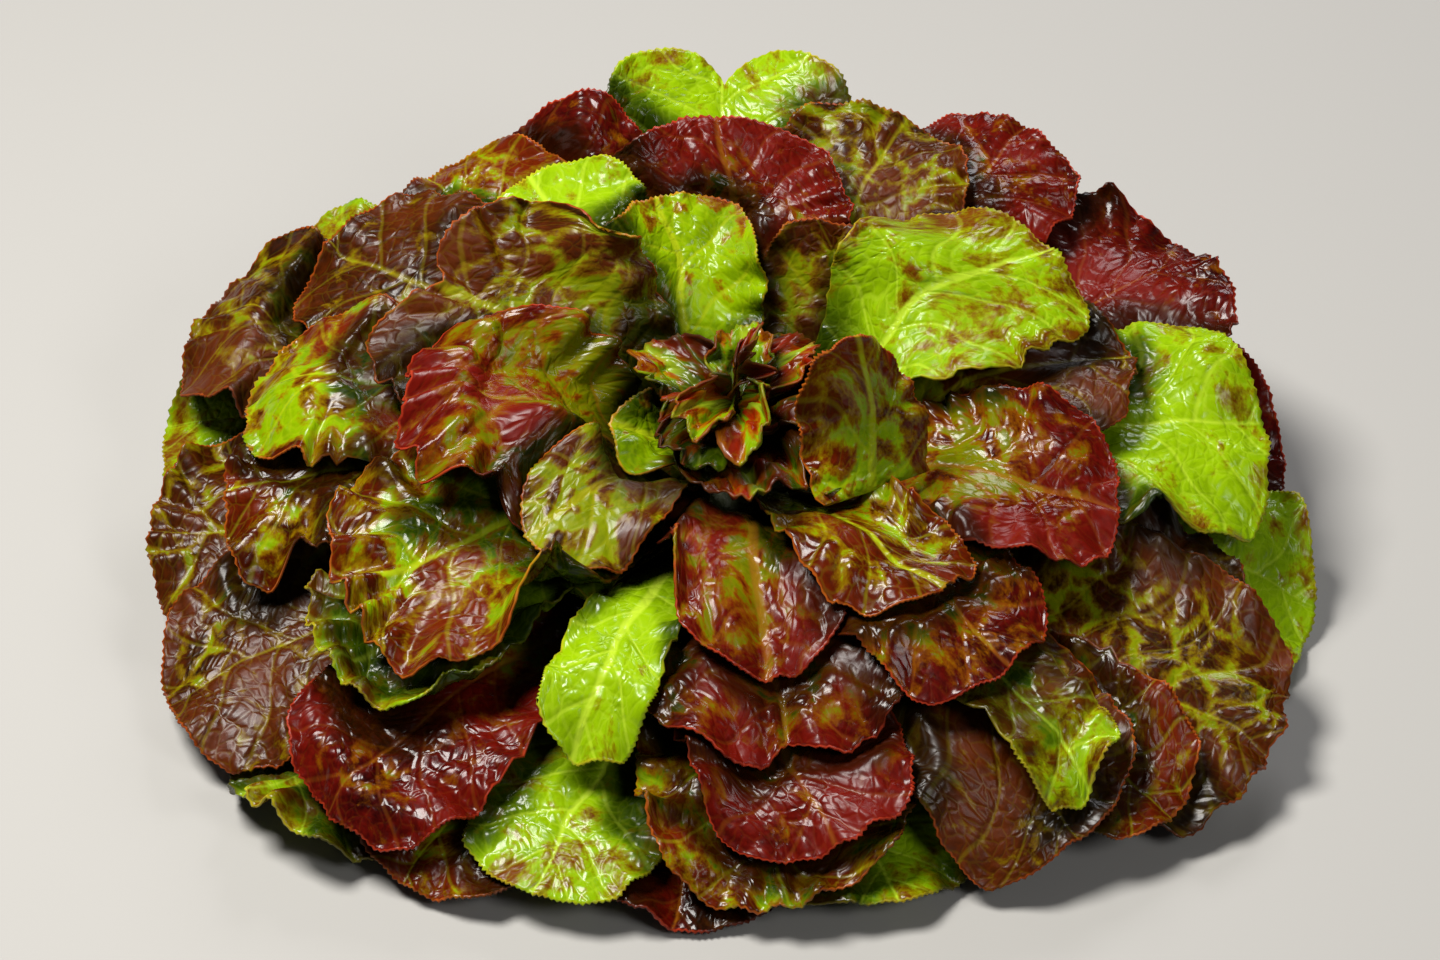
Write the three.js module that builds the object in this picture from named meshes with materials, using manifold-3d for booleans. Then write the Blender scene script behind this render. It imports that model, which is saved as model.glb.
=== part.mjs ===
// A head of loose-leaf lettuce, as cut: a short stem that swells into a crown, fifty-eight broad
// leaves with waved edges in whorls round it, and a tight heart of small crumpled leaves on top.
// It stands on its cut stem, with the outer leaves fallen open on the table, those in front of
// it lower and those behind it upright. Millimetres, +Z up, the front towards -Y. The origin is
// the middle of the cut face of the stem.
//
// Each point of a leaf is placed by its distance from the centre of the crown, its azimuth and
// its angle above the horizon. The leaves are laid in the order in which they grew, outermost
// first, and each one is raised just enough to rest on those under it, so no two of them cross.

import * as THREE from "three";
import { mergeVertices } from "three/addons/utils/BufferGeometryUtils.js";
import Module from "manifold-3d";

const wasm = await Module();
wasm.setup();

// Stem and crown
const STEM_RADIUS = 12.5;
const CROWN_RADIUS = 16;
const CROWN_HEIGHT = 25;
const STEM_SIDES = 14;

// Leaves
const ROOT_DISTANCE = CROWN_RADIUS + 0.5;
const ROOT_WIDTH = 7;
const ROOT_THICKNESS = 1.8;
const BLADE_THICKNESS = 0.8;
const FIRST_ROOT_ANGLE = -28;
const LAST_ROOT_ANGLE = 40;
const REST_GAP = 0.9;
const TABLE_GAP = 0.3;
const BLADE_ROWS = 9;
const BLADE_COLUMNS = 6;
const NARROW_COLUMNS = 4;
const NARROW_WIDTH = 40;
const TIP_ROUNDNESS = 0.9;
const TIP_SQUARENESS = 0.36;
const DISC_START = 0.62;
const DEFAULT_ARCH = 6;
const FRONT_FLOP = 8;

// Heart
const HEART_ROWS = 4;
const HEART_COLUMNS = 4;
const HEART_CORE_INSIDE = 17;
const HEART_CORE_OUTSIDE = 25;
const HEART_CORE_GAP = 4;
const HEART_ROOT_DISTANCE = 23.5;
const HEART_RINGS = [
  { leaves: 5, first: -84, above: 3, tipAngle: 44, tipDistance: 52, width: 38 },
  { leaves: 3, first: -40, above: 11, tipAngle: 62, tipDistance: 53, width: 30 },
  { leaves: 1, first: 70, above: 18, tipAngle: 77, tipDistance: 57, width: 24 },
];

// The map of how high the leaves already laid reach, by distance and azimuth
const MAP_STEP = 1.5;
const MAP_FAR = 180;
const MAP_SECTORS = 240;
const SETTLING_PASSES = 60;
const STIFFNESS = 0.9;

const DEGREE = Math.PI / 180;
const TINTS = {
  green: { color: 0x7fae1c, roughness: 0.4 },
  bronze: { color: 0x6b4412, roughness: 0.35 },
  red: { color: 0x5c160e, roughness: 0.35 },
  mixed: { color: 0x7c7a1a, roughness: 0.38 },
};

// The hinge of the leaf that stands up in front of the heart
const STANDING = { hinge: 52, azimuth: -62, slope: 24, by: 112, radius: 14 };

// The leaves from the outermost to the innermost. at is the azimuth in degrees, 0 to the right
// and -90 to the front. reach and rise are the tip's distance from the axis and its height.
// lean turns the tip aside, notch dents it, wave is the height of the ruffles, cup lifts both
// edges, twist lifts one and drops the other. bend stands the blade up past a hinge that faces
// the azimuth and slope given: by is how far it turns back, round a curve of that radius.
const LEAVES = [
  { at: 34, reach: 136, rise: 5, width: 68, tint: "mixed", wave: 6 },
  { at: 68, reach: 131, rise: 5, width: 68, tint: "red", wave: 6 },
  { at: 103, reach: 130, rise: 5, width: 70, tint: "green", wave: 6 },
  { at: 138, reach: 134, rise: 5, width: 66, tint: "bronze", wave: 6 },
  { at: -143, reach: 147, rise: 4, width: 58, tint: "green", wave: 7 },
  { at: -127, reach: 135, rise: 3, width: 54, tint: "mixed", wave: 5 },
  { at: -98, reach: 123, rise: 3, width: 54, tint: "red", wave: 4 },
  { at: -73, reach: 124, rise: 4, width: 58, tint: "green", wave: 5 },
  { at: 14, reach: 147, rise: 26, width: 58, tint: "red", wave: 5 },
  { at: -6, reach: 149, rise: 8, width: 56, tint: "green", wave: 4 },
  { at: 161, reach: 155, rise: 26, width: 56, tint: "green", wave: 4 },
  { at: -179, reach: 150, rise: 14, width: 58, tint: "bronze", wave: 4 },
  { at: -111, reach: 127, rise: 6, width: 50, tint: "green", wave: 2 },
  { at: -83, reach: 122, rise: 6, width: 70, tint: "mixed", wave: 6 },
  { at: 50, reach: 138, rise: 30, width: 68, tint: "bronze", wave: 6 },
  { at: 86, reach: 133, rise: 30, width: 70, tint: "green", wave: 6 },
  { at: 121, reach: 136, rise: 30, width: 68, tint: "red", wave: 6 },
  { at: 145, reach: 153, rise: 44, width: 54, tint: "green", wave: 5 },
  { at: -20, reach: 134, rise: 18, width: 56, tint: "bronze", wave: 5 },
  { at: -30, reach: 150, rise: 8, width: 74, tint: "bronze", wave: 6 },
  { at: -160, reach: 150, rise: 8, width: 62, tint: "bronze", wave: 4 },
  { at: -136, reach: 138, rise: 14, width: 54, tint: "red", wave: 3 },
  { at: -43, reach: 141, rise: 12, width: 38, tint: "mixed", wave: 4 },
  { at: -53, reach: 133, rise: 9, width: 56, tint: "bronze", wave: 4 },
  { at: -86, reach: 115, rise: 14, width: 54, tint: "red", wave: 5, lean: 8 },
  { at: 157, reach: 156, rise: 31, width: 58, tint: "bronze", wave: 6 },
  { at: 31, reach: 143, rise: 56, width: 72, tint: "red", wave: 6 },
  { at: 71, reach: 132, rise: 54, width: 68, tint: "mixed", wave: 6 },
  { at: 107, reach: 131, rise: 56, width: 68, tint: "bronze", wave: 6 },
  { at: 92, reach: 120, rise: 92, width: 76, tint: "green", wave: 3, notch: 12 },
  { at: 120, reach: 115, rise: 75, width: 54, tint: "red", wave: 4 },
  { at: 53, reach: 130, rise: 72, width: 52, tint: "red", wave: 5 },
  { at: 132, reach: 125, rise: 62, width: 46, tint: "mixed", wave: 4 },
  { at: 66, reach: 112, rise: 76, width: 58, tint: "bronze", wave: 5 },
  { at: 146, reach: 130, rise: 55, width: 52, tint: "bronze", wave: 4 },
  { at: 5, reach: 137, rise: 38, width: 68, tint: "green", wave: 5 },
  { at: -50, reach: 130, rise: 25, width: 26, tint: "green", wave: 4 },
  { at: -83, reach: 97, rise: 28, width: 76, tint: "red", wave: 7, notch: 8 },
  { at: -148, reach: 120, rise: 22, width: 60, tint: "green", wave: 7 },
  { at: -178, reach: 130, rise: 34, width: 54, tint: "mixed", wave: 7 },
  { at: 172, reach: 127, rise: 42, width: 48, tint: "mixed", wave: 5 },
  { at: -112, reach: 98, rise: 30, width: 28, tint: "green", wave: 4 },
  { at: -48, reach: 103, rise: 26, width: 52, tint: "red", wave: 5 },
  { at: 88, reach: 84, rise: 92, width: 70, tint: "red", wave: 5, lean: 6 },
  { at: 128, reach: 90, rise: 81, width: 44, tint: "green", wave: 3 },
  { at: 17, reach: 105, rise: 58, width: 64, tint: "bronze", wave: 7 },
  { at: -151, reach: 112, rise: 30, width: 72, tint: "mixed", wave: 8 },
  { at: 52, reach: 60, rise: 82, width: 54, tint: "bronze", wave: 4 },
  { at: 108, reach: 62, rise: 86, width: 50, tint: "mixed", wave: 5 },
  { at: -15, reach: 101, rise: 36, width: 52, tint: "red", wave: 6 },
  { at: 156, reach: 97, rise: 70, width: 78, tint: "bronze", wave: 6, notch: 9 },
  { at: 30, reach: 98, rise: 70, width: 56, tint: "green", wave: 5 },
  { at: -177, reach: 93, rise: 43, width: 66, tint: "red", wave: 8 },
  { at: -86, reach: 78, rise: 33, width: 52, tint: "red", wave: 6, twist: -5, rootAngle: 48 },
  { at: -58, lean: 8, reach: 84, rise: 28, width: 42, tint: "mixed", wave: 5, rootAngle: 44 },
  { at: -140, reach: 70, rise: 37, width: 38, tint: "bronze", wave: 4, rootAngle: 46 },
  { at: -42, reach: 104, rise: 62, width: 40, tint: "mixed", wave: 4, lean: -10, twist: 0, rootDistance: 26, bend: STANDING },
  { at: -168, reach: 38, rise: 57, width: 36, tint: "mixed", wave: 5 },
];

// A repeatable stream of numbers from 0 to 1.
function stream(seed) {
  let state = seed >>> 0;
  return () => {
    state = (Math.imul(state, 1664525) + 1013904223) >>> 0;
    return state / 4294967296;
  };
}

const mix = (a, b, share) => a + (b - a) * share;

// Where a grid point falls on the flat blade: along from 0 at the root to 1 at the tip, and
// across from -1 to 1 in half-widths. Past DISC_START the rows bend into the round tip.
function bladePoint(leaf, u, t) {
  const length = leaf.tipDistance - leaf.rootDistance;
  const discStart = 1 - (TIP_ROUNDNESS * leaf.width) / 2 / length;
  const rootShare = ROOT_WIDTH / leaf.width;
  if (t <= DISC_START) {
    const q = t / DISC_START;
    const widening = Math.sin((Math.PI / 2) * q) ** 1.6;
    return { along: discStart * q ** 1.15, across: u * mix(rootShare, 1, widening) };
  }
  const y = (t - DISC_START) / (1 - DISC_START);
  const dent = ((leaf.notch ?? 0) / length) * Math.max(0, 1 - Math.abs(u) / 0.6) ** 2 * y;
  return {
    along: mix(discStart, 1, y * Math.sqrt(1 - TIP_SQUARENESS * u * u)) - dent,
    across: u * Math.sqrt(1 - TIP_SQUARENESS * y * y),
  };
}

// The ruffles, cup and twist of a leaf in mm off its smooth arch, strongest at its edge.
function ruffle(leaf, u, t) {
  const y = (t - 0.55) / 0.45;
  const edge = Math.min(1, Math.max(Math.abs(u), y));
  const turn = Math.atan2(u, y);
  const waves =
    Math.sin(leaf.waves * turn + leaf.phase) + 0.5 * Math.sin(2.1 * leaf.waves * turn + 2.7 * leaf.phase);
  const opening = Math.min(1, t * 1.6);
  return opening * (leaf.wave * edge ** 2 * waves + leaf.cup * u * u + leaf.twist * u * t);
}

// Fills in what a row of the list leaves out, and the smooth arch of the leaf.
function prepared(row, index, count) {
  const random = stream(7919 * (index + 1));
  const rise = row.rise - CROWN_HEIGHT;
  const share = index / (count - 1);
  return {
    arch: DEFAULT_ARCH,
    lean: (random() - 0.5) * 4,
    cup: mix(-2, 4, random()),
    twist: mix(-3, 3, random()) + FRONT_FLOP * Math.cos(row.at * DEGREE),
    waves: mix(2.6, 4.2, random()),
    phase: random() * 2 * Math.PI,
    rootDistance: ROOT_DISTANCE,
    rootAngle: mix(FIRST_ROOT_ANGLE, LAST_ROOT_ANGLE, share),
    tipAngle: Math.atan2(rise, row.reach) / DEGREE,
    tipDistance: Math.hypot(row.reach, rise),
    ...row,
  };
}

// The layout of a blade in rows and columns. The triangles are split alike on both faces, and
// the rim goes once round the blade.
function gridOf(rows, columns) {
  const at = (i, j) => i * (columns + 1) + j;
  const faces = [];
  for (let i = 0; i < rows; i++) {
    for (let j = 0; j < columns; j++) {
      const [a, b, c, d] = [at(i, j), at(i, j + 1), at(i + 1, j + 1), at(i + 1, j)];
      if (j < columns / 2) faces.push([a, b, c], [a, c, d]);
      else faces.push([a, b, d], [b, c, d]);
    }
  }
  const rim = [];
  for (let j = 0; j < columns; j++) rim.push([at(0, j), at(0, j + 1)]);
  for (let i = 0; i < rows; i++) rim.push([at(i, columns), at(i + 1, columns)]);
  for (let j = columns; j > 0; j--) rim.push([at(rows, j), at(rows, j - 1)]);
  for (let i = rows; i > 0; i--) rim.push([at(i, 0), at(i - 1, 0)]);
  const near = [];
  for (let i = 0; i <= rows; i++) {
    for (let j = 0; j <= columns; j++) {
      const beside = [];
      if (i > 0) beside.push(at(i - 1, j));
      if (i < rows) beside.push(at(i + 1, j));
      if (j > 0) beside.push(at(i, j - 1));
      if (j < columns) beside.push(at(i, j + 1));
      near.push(beside);
    }
  }
  return { rows, columns, faces, rim, near };
}

const BLADE_GRID = gridOf(BLADE_ROWS, BLADE_COLUMNS);
const NARROW_GRID = gridOf(BLADE_ROWS, NARROW_COLUMNS);
const HEART_GRID = gridOf(HEART_ROWS, HEART_COLUMNS);

// The points of a leaf's grid: distance, azimuth and angle, before it rests on anything.
function laidOut(leaf, grid) {
  const points = [];
  for (let i = 0; i <= grid.rows; i++) {
    for (let j = 0; j <= grid.columns; j++) {
      const t = (i / grid.rows) ** 1.12;
      const u = (2 * j) / grid.columns - 1;
      const { along, across } = bladePoint(leaf, u, t);
      const distance = mix(leaf.rootDistance, leaf.tipDistance, along);
      const bow = leaf.arch * Math.sin(Math.PI * Math.min(1, along));
      const arch = mix(leaf.rootAngle, leaf.tipAngle, along ** 1.2) + bow;
      const round = distance * Math.max(0.4, Math.cos(arch * DEGREE));
      const azimuth = leaf.at + leaf.lean * along ** 2 + ((across * leaf.width) / 2 / round) / DEGREE;
      const rib = Math.max(0, 1 - Math.abs(u) * 2.5) * (1 - along);
      points.push({
        distance,
        azimuth,
        angle: arch + ruffle(leaf, u, t) / distance / DEGREE,
        half: mix(BLADE_THICKNESS, ROOT_THICKNESS, Math.max(rib, 1 - along * 6)) / 2,
        lift: 0,
      });
    }
  }
  return points;
}

// The map starts at the surface of the table.
const MAP_RINGS = Math.ceil((MAP_FAR - ROOT_DISTANCE) / MAP_STEP);
const height = new Float64Array(MAP_RINGS * MAP_SECTORS);
for (let ring = 0; ring < MAP_RINGS; ring++) {
  const distance = ROOT_DISTANCE + (ring + 0.5) * MAP_STEP;
  const drop = Math.min(1, (CROWN_HEIGHT - TABLE_GAP) / distance);
  height.fill(-Math.asin(drop) / DEGREE, ring * MAP_SECTORS, (ring + 1) * MAP_SECTORS);
}

// Points spread over each flat triangle of a leaf, with the cell of the map that each is over.
function samplesOf(points, grid) {
  const places = points.map((p) => inSpace(p.distance, p.azimuth, p.angle));
  const apart = (p, q) => Math.hypot(p[0] - q[0], p[1] - q[1], p[2] - q[2]);
  const samples = [];
  for (const corners of grid.faces) {
    const [p, q, r] = corners.map((n) => places[n]);
    const steps = Math.ceil(Math.max(apart(p, q), apart(q, r), apart(r, p)) / MAP_STEP) + 1;
    for (let i = 0; i <= steps; i++) {
      for (let j = 0; j <= steps - i; j++) {
        const weights = [i / steps, j / steps, 1 - (i + j) / steps];
        const [x, y, z] = [0, 1, 2].map((k) => weights[0] * p[k] + weights[1] * q[k] + weights[2] * r[k]);
        const distance = Math.hypot(x, y, z - CROWN_HEIGHT);
        const ring = Math.floor((distance - ROOT_DISTANCE) / MAP_STEP);
        const turns = Math.atan2(y, x) / (2 * Math.PI) + 1;
        const sector = Math.floor((turns % 1) * MAP_SECTORS) % MAP_SECTORS;
        samples.push({
          corners,
          weights,
          spread: weights.reduce((sum, w) => sum + w * w, 0),
          cell: Math.min(MAP_RINGS - 1, Math.max(0, ring)) * MAP_SECTORS + sector,
          distance,
          bare: Math.asin((z - CROWN_HEIGHT) / distance) / DEGREE,
          half: weights.reduce((sum, w, n) => sum + w * points[corners[n]].half, 0),
        });
      }
    }
  }
  return samples;
}

// Raises a leaf until it rests on the leaves under it: it is pushed up wherever it is too low,
// and the push is shared with the points round it, so that the whole leaf bends.
function settle(points, samples, grid) {
  for (let pass = 0; pass < SETTLING_PASSES; pass++) {
    if (pass < SETTLING_PASSES / 2) {
      const before = points.map((p) => p.lift);
      grid.near.forEach((beside, n) => {
        const mean = beside.reduce((sum, m) => sum + before[m], 0) / beside.length;
        points[n].lift = STIFFNESS * mix(before[n], mean, 0.5);
      });
    }
    for (const s of samples) {
      const lift = s.weights.reduce((sum, w, n) => sum + w * points[s.corners[n]].lift, 0);
      const clear = (s.half + REST_GAP) / s.distance / DEGREE;
      const missing = height[s.cell] + clear - (s.bare + lift);
      if (missing > 0) {
        s.weights.forEach((w, n) => {
          points[s.corners[n]].lift += (missing * w) / s.spread;
        });
      }
    }
  }
}

// Marks a leaf on the map, so that the next ones rest on it.
function mark(points, samples) {
  for (const s of samples) {
    const lift = s.weights.reduce((sum, w, n) => sum + w * points[s.corners[n]].lift, 0);
    const top = s.bare + lift + s.half / s.distance / DEGREE;
    height[s.cell] = Math.max(height[s.cell], top);
  }
}

// A point in space from its distance, azimuth and angle as seen from the centre of the crown.
function inSpace(distance, azimuth, angle) {
  const level = distance * Math.cos(angle * DEGREE);
  return [
    level * Math.cos(azimuth * DEGREE),
    level * Math.sin(azimuth * DEGREE),
    CROWN_HEIGHT + distance * Math.sin(angle * DEGREE),
  ];
}

// Turns the part of a blade that is past its hinge up and back round a curve.
function bent(place, azimuthOfHinge, bend) {
  const hinge = new THREE.Vector3(...inSpace(bend.hinge, azimuthOfHinge, bend.slope));
  const [turn, slope, by] = [bend.azimuth, bend.slope, bend.by].map((angle) => angle * DEGREE);
  const ahead = new THREE.Vector3(Math.cos(turn), Math.sin(turn), 0);
  const out = ahead.clone().multiplyScalar(Math.cos(slope)).setZ(Math.sin(slope));
  const up = ahead.clone().multiplyScalar(-Math.sin(slope)).setZ(Math.cos(slope));
  const from = new THREE.Vector3(...place).sub(hinge);
  const past = from.dot(out);
  if (past <= 0) return place;
  const arm = bend.radius - from.dot(up);
  const angle = Math.min(by, past / bend.radius);
  const beyond = past - angle * bend.radius;
  const forward = arm * Math.sin(angle) + beyond * Math.cos(angle);
  const upward = bend.radius - arm * Math.cos(angle) + beyond * Math.sin(angle);
  return from
    .addScaledVector(out, forward - past)
    .addScaledVector(up, upward - from.dot(up))
    .add(hinge)
    .toArray();
}

// The closed blade of a settled leaf: its upper face, its lower face and the edge between.
function bladeGeometry(points, grid, leaf = {}) {
  const vertices = [];
  for (const side of [1, -1]) {
    for (const p of points) {
      const angle = p.angle + p.lift + (side * p.half) / p.distance / DEGREE;
      const place = inSpace(p.distance, p.azimuth, angle);
      vertices.push(...(leaf.bend ? bent(place, leaf.at, leaf.bend) : place));
    }
  }
  const under = points.length;
  const faces = [];
  for (const [a, b, c] of grid.faces) {
    faces.push(a, c, b, under + a, under + b, under + c);
  }
  for (const [a, b] of grid.rim) {
    faces.push(a, b, under + b, a, under + b, under + a);
  }
  const geometry = new THREE.BufferGeometry();
  geometry.setAttribute("position", new THREE.Float32BufferAttribute(vertices, 3));
  geometry.setIndex(faces);
  geometry.computeVertexNormals();
  return geometry;
}

function solidOf(geometry) {
  const bare = geometry.clone();
  bare.deleteAttribute("normal");
  bare.deleteAttribute("uv");
  const merged = mergeVertices(bare, 1e-4);
  return new wasm.Manifold(
    new wasm.Mesh({
      numProp: 3,
      vertProperties: merged.attributes.position.array,
      triVerts: new Uint32Array(merged.index.array),
    }),
  );
}

function geometryOf(solid) {
  const made = solid.getMesh();
  const geometry = new THREE.BufferGeometry();
  geometry.setAttribute("position", new THREE.BufferAttribute(made.vertProperties, 3));
  geometry.setIndex(new THREE.BufferAttribute(made.triVerts, 1));
  geometry.computeVertexNormals();
  return geometry;
}

function named(name, geometry, look) {
  const material = new THREE.MeshStandardMaterial({ metalness: 0, ...look });
  const mesh = new THREE.Mesh(geometry, material);
  mesh.name = name;
  return mesh;
}

// The stem: a stub with a clean flat cut, swelling into the round crown.
function stem() {
  const profile = [
    [0, 0],
    [STEM_RADIUS - 1, 0],
    [STEM_RADIUS, 1],
    [STEM_RADIUS, 8],
  ];
  const lowest = -Math.acos(STEM_RADIUS / CROWN_RADIUS) / DEGREE;
  for (let angle = lowest; angle < 80; angle += 24) {
    profile.push([
      CROWN_RADIUS * Math.cos(angle * DEGREE),
      CROWN_HEIGHT + CROWN_RADIUS * Math.sin(angle * DEGREE),
    ]);
  }
  profile.push([0, CROWN_HEIGHT + CROWN_RADIUS]);
  const geometry = new THREE.LatheGeometry(
    profile.map(([x, y]) => new THREE.Vector2(x, y)),
    STEM_SIDES,
  );
  geometry.rotateX(Math.PI / 2);
  return named("stem", geometry, { color: 0xcfd9a0, roughness: 0.55 });
}

// The heart: small leaves that stand close round the axis, rooted in one core on the crown.
function heart() {
  const rings = Math.ceil((HEART_CORE_OUTSIDE - ROOT_DISTANCE) / MAP_STEP) + 1;
  const lowest = Math.max(...height.subarray(0, rings * MAP_SECTORS)) + HEART_CORE_GAP;
  const profile = [];
  for (const angle of [90, (90 + lowest) / 2, lowest]) profile.push([HEART_CORE_INSIDE, angle]);
  for (const angle of [lowest, (90 + lowest) / 2, 90]) profile.push([HEART_CORE_OUTSIDE, angle]);
  const core = new THREE.LatheGeometry(
    profile.map(([r, angle]) => {
      const across = angle === 90 ? 0 : r * Math.cos(angle * DEGREE);
      return new THREE.Vector2(across, r * Math.sin(angle * DEGREE));
    }),
    STEM_SIDES,
  );
  core.rotateX(Math.PI / 2);
  core.translate(0, 0, CROWN_HEIGHT);
  let solid = solidOf(core);
  let index = LEAVES.length;
  for (const ring of HEART_RINGS) {
    for (let n = 0; n < ring.leaves; n++) {
      const place = { at: ring.first + (360 * n) / ring.leaves, reach: 0, rise: 0 };
      const rootAngle = lowest + ring.above;
      const look = { rootDistance: HEART_ROOT_DISTANCE, rootAngle, wave: 3, arch: 2 };
      const points = laidOut(prepared({ ...place, ...look, ...ring }, index++, 100), HEART_GRID);
      const samples = samplesOf(points, HEART_GRID);
      settle(points, samples, HEART_GRID);
      mark(points, samples.filter((sample) => sample.distance > HEART_CORE_OUTSIDE));
      solid = solid.add(solidOf(bladeGeometry(points, HEART_GRID)));
    }
  }
  solid = solid.simplify(0.08);
  const bodies = solid.decompose().sort((a, b) => b.volume() - a.volume());
  return named("heart", geometryOf(bodies[0]), TINTS.mixed);
}

const head = new THREE.Group();
head.add(stem());
LEAVES.forEach((row, index) => {
  const grid = row.width < NARROW_WIDTH ? NARROW_GRID : BLADE_GRID;
  const points = laidOut(prepared(row, index, LEAVES.length), grid);
  const resting = row.bend ? row.bend.hinge : MAP_FAR;
  const samples = samplesOf(points, grid).filter((sample) => sample.distance < resting);
  settle(points, samples, grid);
  mark(points, samples);
  const name = "leaf_" + String(index + 1).padStart(2, "0");
  head.add(named(name, bladeGeometry(points, grid, row), TINTS[row.tint]));
});
head.add(heart());

export default head;
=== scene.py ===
"""The looks of a head of red and green leaf lettuce: fine ruffled blades, a heart and a stem."""

import math

import bmesh
import bpy
import numpy as np
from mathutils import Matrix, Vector


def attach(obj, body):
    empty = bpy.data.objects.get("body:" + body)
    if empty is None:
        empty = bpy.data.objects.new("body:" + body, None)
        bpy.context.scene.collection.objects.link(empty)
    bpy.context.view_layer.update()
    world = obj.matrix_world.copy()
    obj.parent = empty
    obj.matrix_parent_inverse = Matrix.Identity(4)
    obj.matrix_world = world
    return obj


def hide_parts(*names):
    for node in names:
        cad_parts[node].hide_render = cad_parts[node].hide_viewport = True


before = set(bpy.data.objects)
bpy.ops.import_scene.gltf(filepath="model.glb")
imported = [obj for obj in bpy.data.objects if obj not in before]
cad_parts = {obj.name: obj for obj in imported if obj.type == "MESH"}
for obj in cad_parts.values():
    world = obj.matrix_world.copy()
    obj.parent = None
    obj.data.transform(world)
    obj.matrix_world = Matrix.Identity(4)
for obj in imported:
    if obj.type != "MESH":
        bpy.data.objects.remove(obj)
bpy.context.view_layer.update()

# Values shared with the part's source, in millimetres and degrees
CROWN_RADIUS = 16
CROWN_HEIGHT = 25
STEM_RADIUS = 12.5
ROOT_DISTANCE = CROWN_RADIUS + 0.5
ROOT_WIDTH = 7
FIRST_ROOT_ANGLE = -28
LAST_ROOT_ANGLE = 40
BLADE_ROWS = 9
BLADE_COLUMNS = 6
NARROW_COLUMNS = 4
NARROW_WIDTH = 40
TIP_ROUNDNESS = 0.9
TIP_SQUARENESS = 0.36
DISC_START = 0.62
DEFAULT_ARCH = 6
ROW_POWER = 1.12
HEART_ROWS = 4
HEART_COLUMNS = 4
HEART_ROOT_DISTANCE = 23.5

# How near in millimetres a packed point lies to the place where the source put it
FOUND_WITHIN = 0.08

# The maps of what lies under and over each leaf
HEAP_STEP = 1.5
HEAP_RINGS = 120
HEAP_SECTORS = 480

# The fine blades. Lengths are in millimetres, but the thickness is in metres.
MM = 0.001
BLADE_THICKNESS = 0.6 * MM
FINE_ROW_POWER = 0.62
FINE_GRID = (64, 56)
NARROW_FINE_GRID = (60, 34)
HEART_FINE_GRID = (36, 36)
HEART_TURN = 34
ROOM_LEFT = 1.2
REST_GAP = 0.8
TOP_FACE = 0.4
CURL_RADIUS = 7.5
MOST_OPENING = 14
# Millimetres of room over a skin past which its painted shade has faded out
PAINTED_SHADE_ROOM = 14

# No point of a blade lies lower or higher than this. The upper limit keeps the height near that of
# the source's solids. It flattens the tip of the standing leaf, which would be 1.3 mm taller.
LOWEST = 0.5
HIGHEST = 101.5

# The side veins: how far apart they leave the midrib, and how they climb and bow away from it.
# The veins of one half start between those of the other.
VEIN_SPACING = 13
VEIN_SLOPE = 0.95
VEIN_BOW = 0.008
VEIN_STAGGER = 4
ACROSS_VEINS = 0.72

# The brown black of painted shade, where another leaf lies close over a skin
PAINTED_SHADE = "0a0b00"

# The hinge of the leaf that stands up in front of the heart
STANDING = {"hinge": 52, "azimuth": -62, "slope": 24, "by": 112, "radius": 14}
BEND_MIDDLE = 13

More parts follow.
